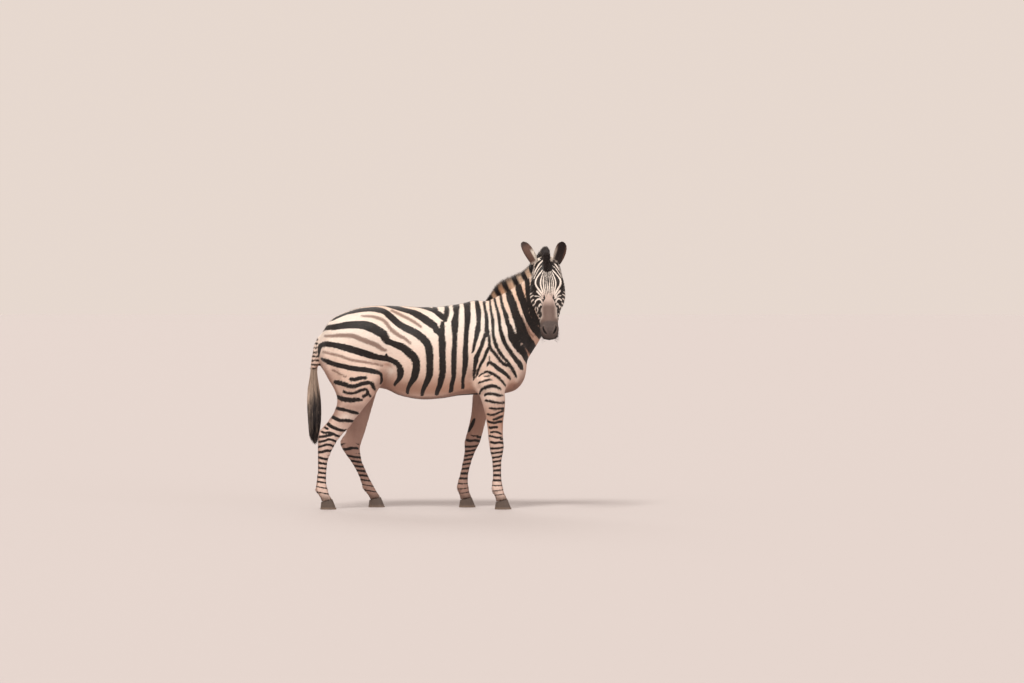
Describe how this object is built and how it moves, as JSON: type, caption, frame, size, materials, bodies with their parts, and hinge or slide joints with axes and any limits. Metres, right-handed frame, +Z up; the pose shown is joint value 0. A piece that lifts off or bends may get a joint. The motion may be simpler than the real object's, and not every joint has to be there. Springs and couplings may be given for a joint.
{
  "type": "zebra",
  "caption": "Life-size still model of a standing plains zebra with its head turned to its right and its tail hanging.",
  "frame": {"origin": "on the floor, under the middle of the whole model's box", "axes": "+X forward, towards the chest; +Y to the animal's left; +Z up"},
  "size_m": [1.6192, 0.7508, 1.6723],
  "materials": {
    "coat": "short, smooth, striped coat",
    "long_hair": "coarse upright and hanging hair",
    "eye": "wet gloss",
    "hoof": "worn horn"
  },
  "bodies": {
    "root": {"head": "coat", "neck": "coat", "trunk": "coat", "foreleg_left": "coat", "foreleg_right": "coat", "hindleg_left": "coat", "hindleg_right": "coat", "ear_left": "coat", "ear_right": "coat", "tail": "coat", "tail_tuft": "long_hair", "mane": "long_hair", "forelock": "long_hair", "eye_left": "eye", "eye_right": "eye", "fore_hoof_left": "hoof", "fore_hoof_right": "hoof", "hind_hoof_left": "hoof", "hind_hoof_right": "hoof"}
  },
  "joints": []
}
